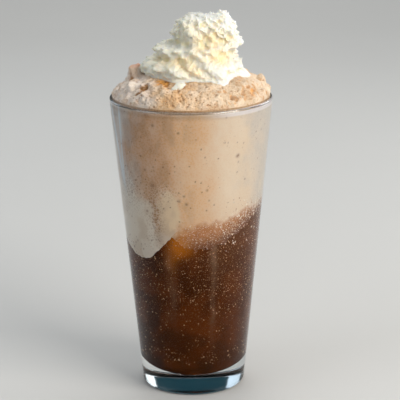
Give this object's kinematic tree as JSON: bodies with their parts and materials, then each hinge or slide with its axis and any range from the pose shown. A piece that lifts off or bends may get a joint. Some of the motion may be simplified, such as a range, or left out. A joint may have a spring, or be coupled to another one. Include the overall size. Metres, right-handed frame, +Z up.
{
  "type": "ice cream float in a tall glass",
  "caption": "Ice cream float: a tall conical glass of dark soda with a scoop of ice cream, thick foam domed over the brim and a piped swirl of whipped cream on top.",
  "frame": {"origin": "centre of the glass's foot, on the surface that it stands on", "axes": "+Z up along the glass's axis, -Y towards the viewer of the picture, +X to the right, where the whipped cream leans"},
  "size_m": [0.0884, 0.0884, 0.2098],
  "materials": {
    "clear_glass": "clear, smooth, thin rim and thick floor",
    "dark_soda": "dark brown carbonated drink with fine bubbles on the glass",
    "vanilla_ice_cream": "pale cream, soft and wet where it lies on the glass",
    "soda_foam": "tan to pale beige foam with fine pores and bubbles",
    "whipped_cream": "white, ruffled, faintly warm in the folds"
  },
  "bodies": {
    "root": {"glass": "clear_glass", "dark_soda": "dark_soda", "ice_cream": "vanilla_ice_cream", "foam": "soda_foam", "whipped_cream": "whipped_cream"}
  },
  "joints": []
}
